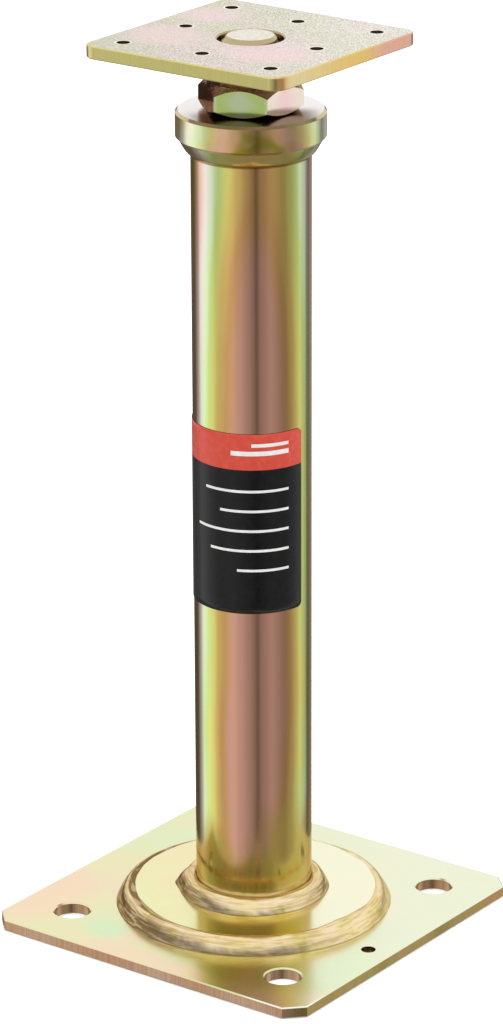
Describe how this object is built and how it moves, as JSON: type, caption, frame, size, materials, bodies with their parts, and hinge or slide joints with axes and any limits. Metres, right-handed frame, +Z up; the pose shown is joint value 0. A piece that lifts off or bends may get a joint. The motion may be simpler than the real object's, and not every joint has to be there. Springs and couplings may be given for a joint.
{
  "type": "adjustable support post",
  "caption": "Adjustable steel support post: round tube on a square anchor plate, with a collar, a hexagon nut and a threaded spindle that lifts a square head plate.",
  "frame": {"origin": "centre of the anchor plate's underside", "axes": "+Z up along the tube and spindle, X and Y along the anchor plate's sides"},
  "size_m": [0.13, 0.13, 0.3116],
  "materials": {
    "plate_steel": "yellow zinc plated sheet, satin, faint pink and green tints",
    "tube_steel": "yellow zinc plated drawn tube, bright, iridescent",
    "turned_steel": "yellow zinc plated turned steel, bright",
    "weld_bead": "yellow zinc plated weld bead, rippled",
    "label_film": "printed film, black with a red-orange band, blank"
  },
  "bodies": {
    "post": {"base_plate": "plate_steel", "reinforcing_disc": "plate_steel", "disc_weld": "weld_bead", "post_tube": "tube_steel", "tube_weld": "weld_bead", "collar": "turned_steel", "collar_weld": "weld_bead", "label": "label_film"},
    "nut": {"adjusting_nut": "turned_steel"},
    "head": {"spindle": "turned_steel", "top_plate": "plate_steel", "spindle_weld": "weld_bead"}
  },
  "joints": [
    {"name": "nut_turn", "type": "hinge", "parent": "post", "child": "nut", "pos_m": [0, 0, 0.2921], "axis": [0, 0, -1], "range_deg": [-722, 12962]},
    {"name": "head_lift", "type": "slide", "parent": "post", "child": "head", "axis": [0, 0, 1], "range_m": [-0.005, 0.09]}
  ],
  "couplings": [
    {"joint": "nut_turn", "follows": "head_lift", "rad_per_m": 2513.3}
  ]
}
